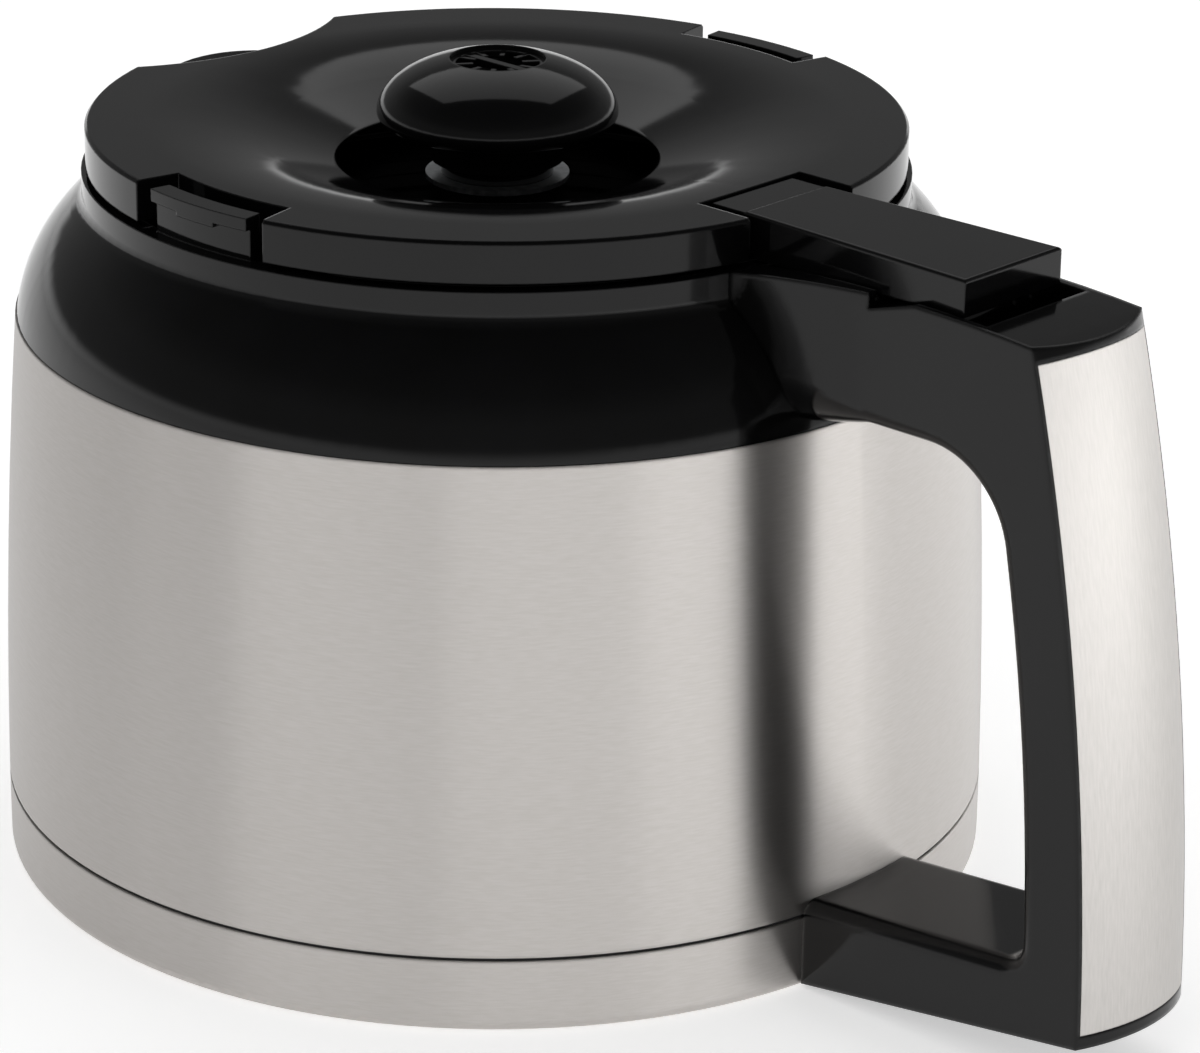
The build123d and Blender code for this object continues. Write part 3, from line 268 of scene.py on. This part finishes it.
# Valve: the bush in the dish, the domed knob on its hollow hub with the open grille in its top, and the stem
# and disc that hang from it. All moulded in the same ABS and pressed together.
for name in ("valve_guide", "knob", "knob_grille", "valve_stem", "valve_disc"):
    dress(solids[name], black_abs)


# Spring round the stem: wound from zinc-plated steel wire. It stands on the cage in the plug, and the knob's
# hub presses it shorter by the valve's whole travel.
spring = merged_copy("valve_spring", "wound_spring", "lid")
dress(spring, zinc)
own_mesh(spring)


# Table: a matt white painted board that runs out of sight on all sides. Only the camera and the gloss see
# its glow, which makes it the photograph's white ground, leaves the carafe's shadow and lights nothing.
TABLE_WIDTH = 12  # metres
GLOW = 0.45  # lifts the paint to white where nothing shades it
bpy.ops.mesh.primitive_plane_add(size=TABLE_WIDTH, location=(0, 0, 0))
table_top = bpy.context.object
table_top.name = "table"


def seen_light(material):
    """1 for rays that the camera, a gloss or a clear piece sends out, 0 for those that only light things."""
    rays = add_node(material, "ShaderNodeLightPath")
    near = add_node(
        material, "ShaderNodeMath", {0: rays.outputs["Is Camera Ray"], 1: rays.outputs["Is Glossy Ray"]},
        operation="MAXIMUM",
    )
    seen = add_node(
        material, "ShaderNodeMath", {0: near.outputs[0], 1: rays.outputs["Is Transmission Ray"]},
        operation="MAXIMUM",
    )
    return seen.outputs[0]


white_board = new_material("white painted board")
# roller mottle, drawn out to patches of 125 mm so that it doesn't speckle
mottle = cloud(white_board, 125, 125, 125, detail=2.0)
tone = add_node(white_board, "ShaderNodeValToRGB", {"Fac": mottle}, stops=two_tones("#F1F1F1", "#F4F4F4"))
glow = add_node(white_board, "ShaderNodeMath", {0: seen_light(white_board), 1: GLOW}, operation="MULTIPLY")
paint = add_node(
    white_board, "ShaderNodeBsdfPrincipled",
    {
        "Base Color": tone.outputs["Color"],
        "Roughness": 0.9,
        "Emission Color": (1, 1, 1, 1),
        "Emission Strength": glow.outputs[0],
    },
)
add_node(white_board, "ShaderNodeOutputMaterial", {"Surface": paint.outputs[0]})
dress(table_top, white_board)


# Room: a white wall up to the horizon and a dim ceiling over it, which is what the camera and the gloss see.
# The rest of the light in it is even, like that of a room with pale walls.
ROOM_LEVELS = ((0.02, 1.0), (0.07, 0.20), (0.34, 0.19), (0.6, 0.10), (1.0, 0.04))  # height up to 1, light
AIR_LIGHT = 0.5
studio = bpy.data.worlds.new("studio")
bpy.context.scene.world = studio
studio.use_nodes = True
studio.node_tree.nodes.clear()
way = add_node(studio, "ShaderNodeTexCoord")
height = add_node(studio, "ShaderNodeSeparateXYZ", {"Vector": way.outputs["Generated"]})
room = add_node(
    studio, "ShaderNodeValToRGB", {"Fac": height.outputs["Z"]},
    stops=[(rise, (level, level, level, 1)) for rise, level in ROOM_LEVELS],
)
wall = add_node(studio, "ShaderNodeBackground", {"Color": room.outputs["Color"], "Strength": 1.0})
air = add_node(studio, "ShaderNodeBackground", {"Color": (1, 1, 1, 1), "Strength": AIR_LIGHT})
mixed = add_node(
    studio, "ShaderNodeMixShader", {0: seen_light(studio), 1: air.outputs[0], 2: wall.outputs[0]},
)
add_node(studio, "ShaderNodeOutputWorld", {"Surface": mixed.outputs[0]})


# Lamps: soft boxes round the table. Five low ones draw the pale upright bands on the steel and one picks out
# its rim; these light only the steel and the table, so that the gloss black stays clean. The large one
# overhead lights everything and gives the soft shadow.
CAMERA_SIDE = -45.4  # degrees round the carafe, where the camera stands
LAMP_AIM = Vector((0, 0, 0.07))  # metres; the carafe's middle
STEEL_LAMP_DISTANCE = 1.2  # metres
STEEL_LAMPS = (
    # azimuth and elevation in degrees, width and height in metres, power in watts
    ("lamp far left", -72, 1, (0.6, 0.14), 0.2),
    ("lamp left", -35, 1, (1.0, 0.14), 1.3),
    ("lamp front", 11, 1, (1.0, 0.14), 2.3),
    ("lamp right", 62, 1, (1.35, 0.14), 4.7),
    ("lamp far right", 117, 1, (1.2, 0.14), 2.0),
    ("lamp rim", -45, 42, (0.9, 0.5), 0.8),
)


def soft_lamp(name, azimuth, elevation, size, power, distance):
    """A soft box that faces the carafe's middle; azimuth 0 is the camera's side, and grows to its right."""
    turn, rise = radians(CAMERA_SIDE + azimuth), radians(elevation)
    out_from_aim = Vector((cos(turn) * cos(rise), sin(turn) * cos(rise), sin(rise)))
    bpy.ops.object.light_add(type="AREA", location=LAMP_AIM + out_from_aim * distance)
    lamp = bpy.context.object
    lamp.name = name
    lamp.rotation_euler = (-out_from_aim).to_track_quat("-Z", "Y").to_euler()
    lamp.data.shape = "RECTANGLE"
    lamp.data.size, lamp.data.size_y = size
    lamp.data.energy = power
    return lamp


steel_and_table = bpy.data.collections.new("steel and table")
for piece in (solids["outer_shell"], solids["base_cup"], solids["handle_cover"], table_top):
    steel_and_table.objects.link(piece)
for lamp_values in STEEL_LAMPS:
    steel_lamp = soft_lamp(*lamp_values, distance=STEEL_LAMP_DISTANCE)
    steel_lamp.light_linking.receiver_collection = steel_and_table
soft_lamp("lamp top", azimuth=180, elevation=55, size=(2.2, 1.6), power=8.0, distance=2.0)


# Camera: a long lens at the photograph's place, a little above the lid and on the handle's side. Its place,
# turn and lens were fitted to the round edges of the body, the lid and the knob.
CAMERA_PLACE = (0.51573, -0.52298, 0.33740)  # metres
CAMERA_TURN = (68.7191, -0.6086, 43.5193)  # degrees
LENS, SENSOR = 145.1, 36  # millimetres
NEAREST, FARTHEST = 0.02, 50  # metres
bpy.ops.object.camera_add(location=CAMERA_PLACE, rotation=[radians(angle) for angle in CAMERA_TURN])
camera = bpy.context.object
camera.data.lens, camera.data.sensor_width = LENS, SENSOR
camera.data.clip_start, camera.data.clip_end = NEAREST, FARTHEST
bpy.context.scene.camera = camera
bpy.context.scene.view_settings.view_transform = "Standard"
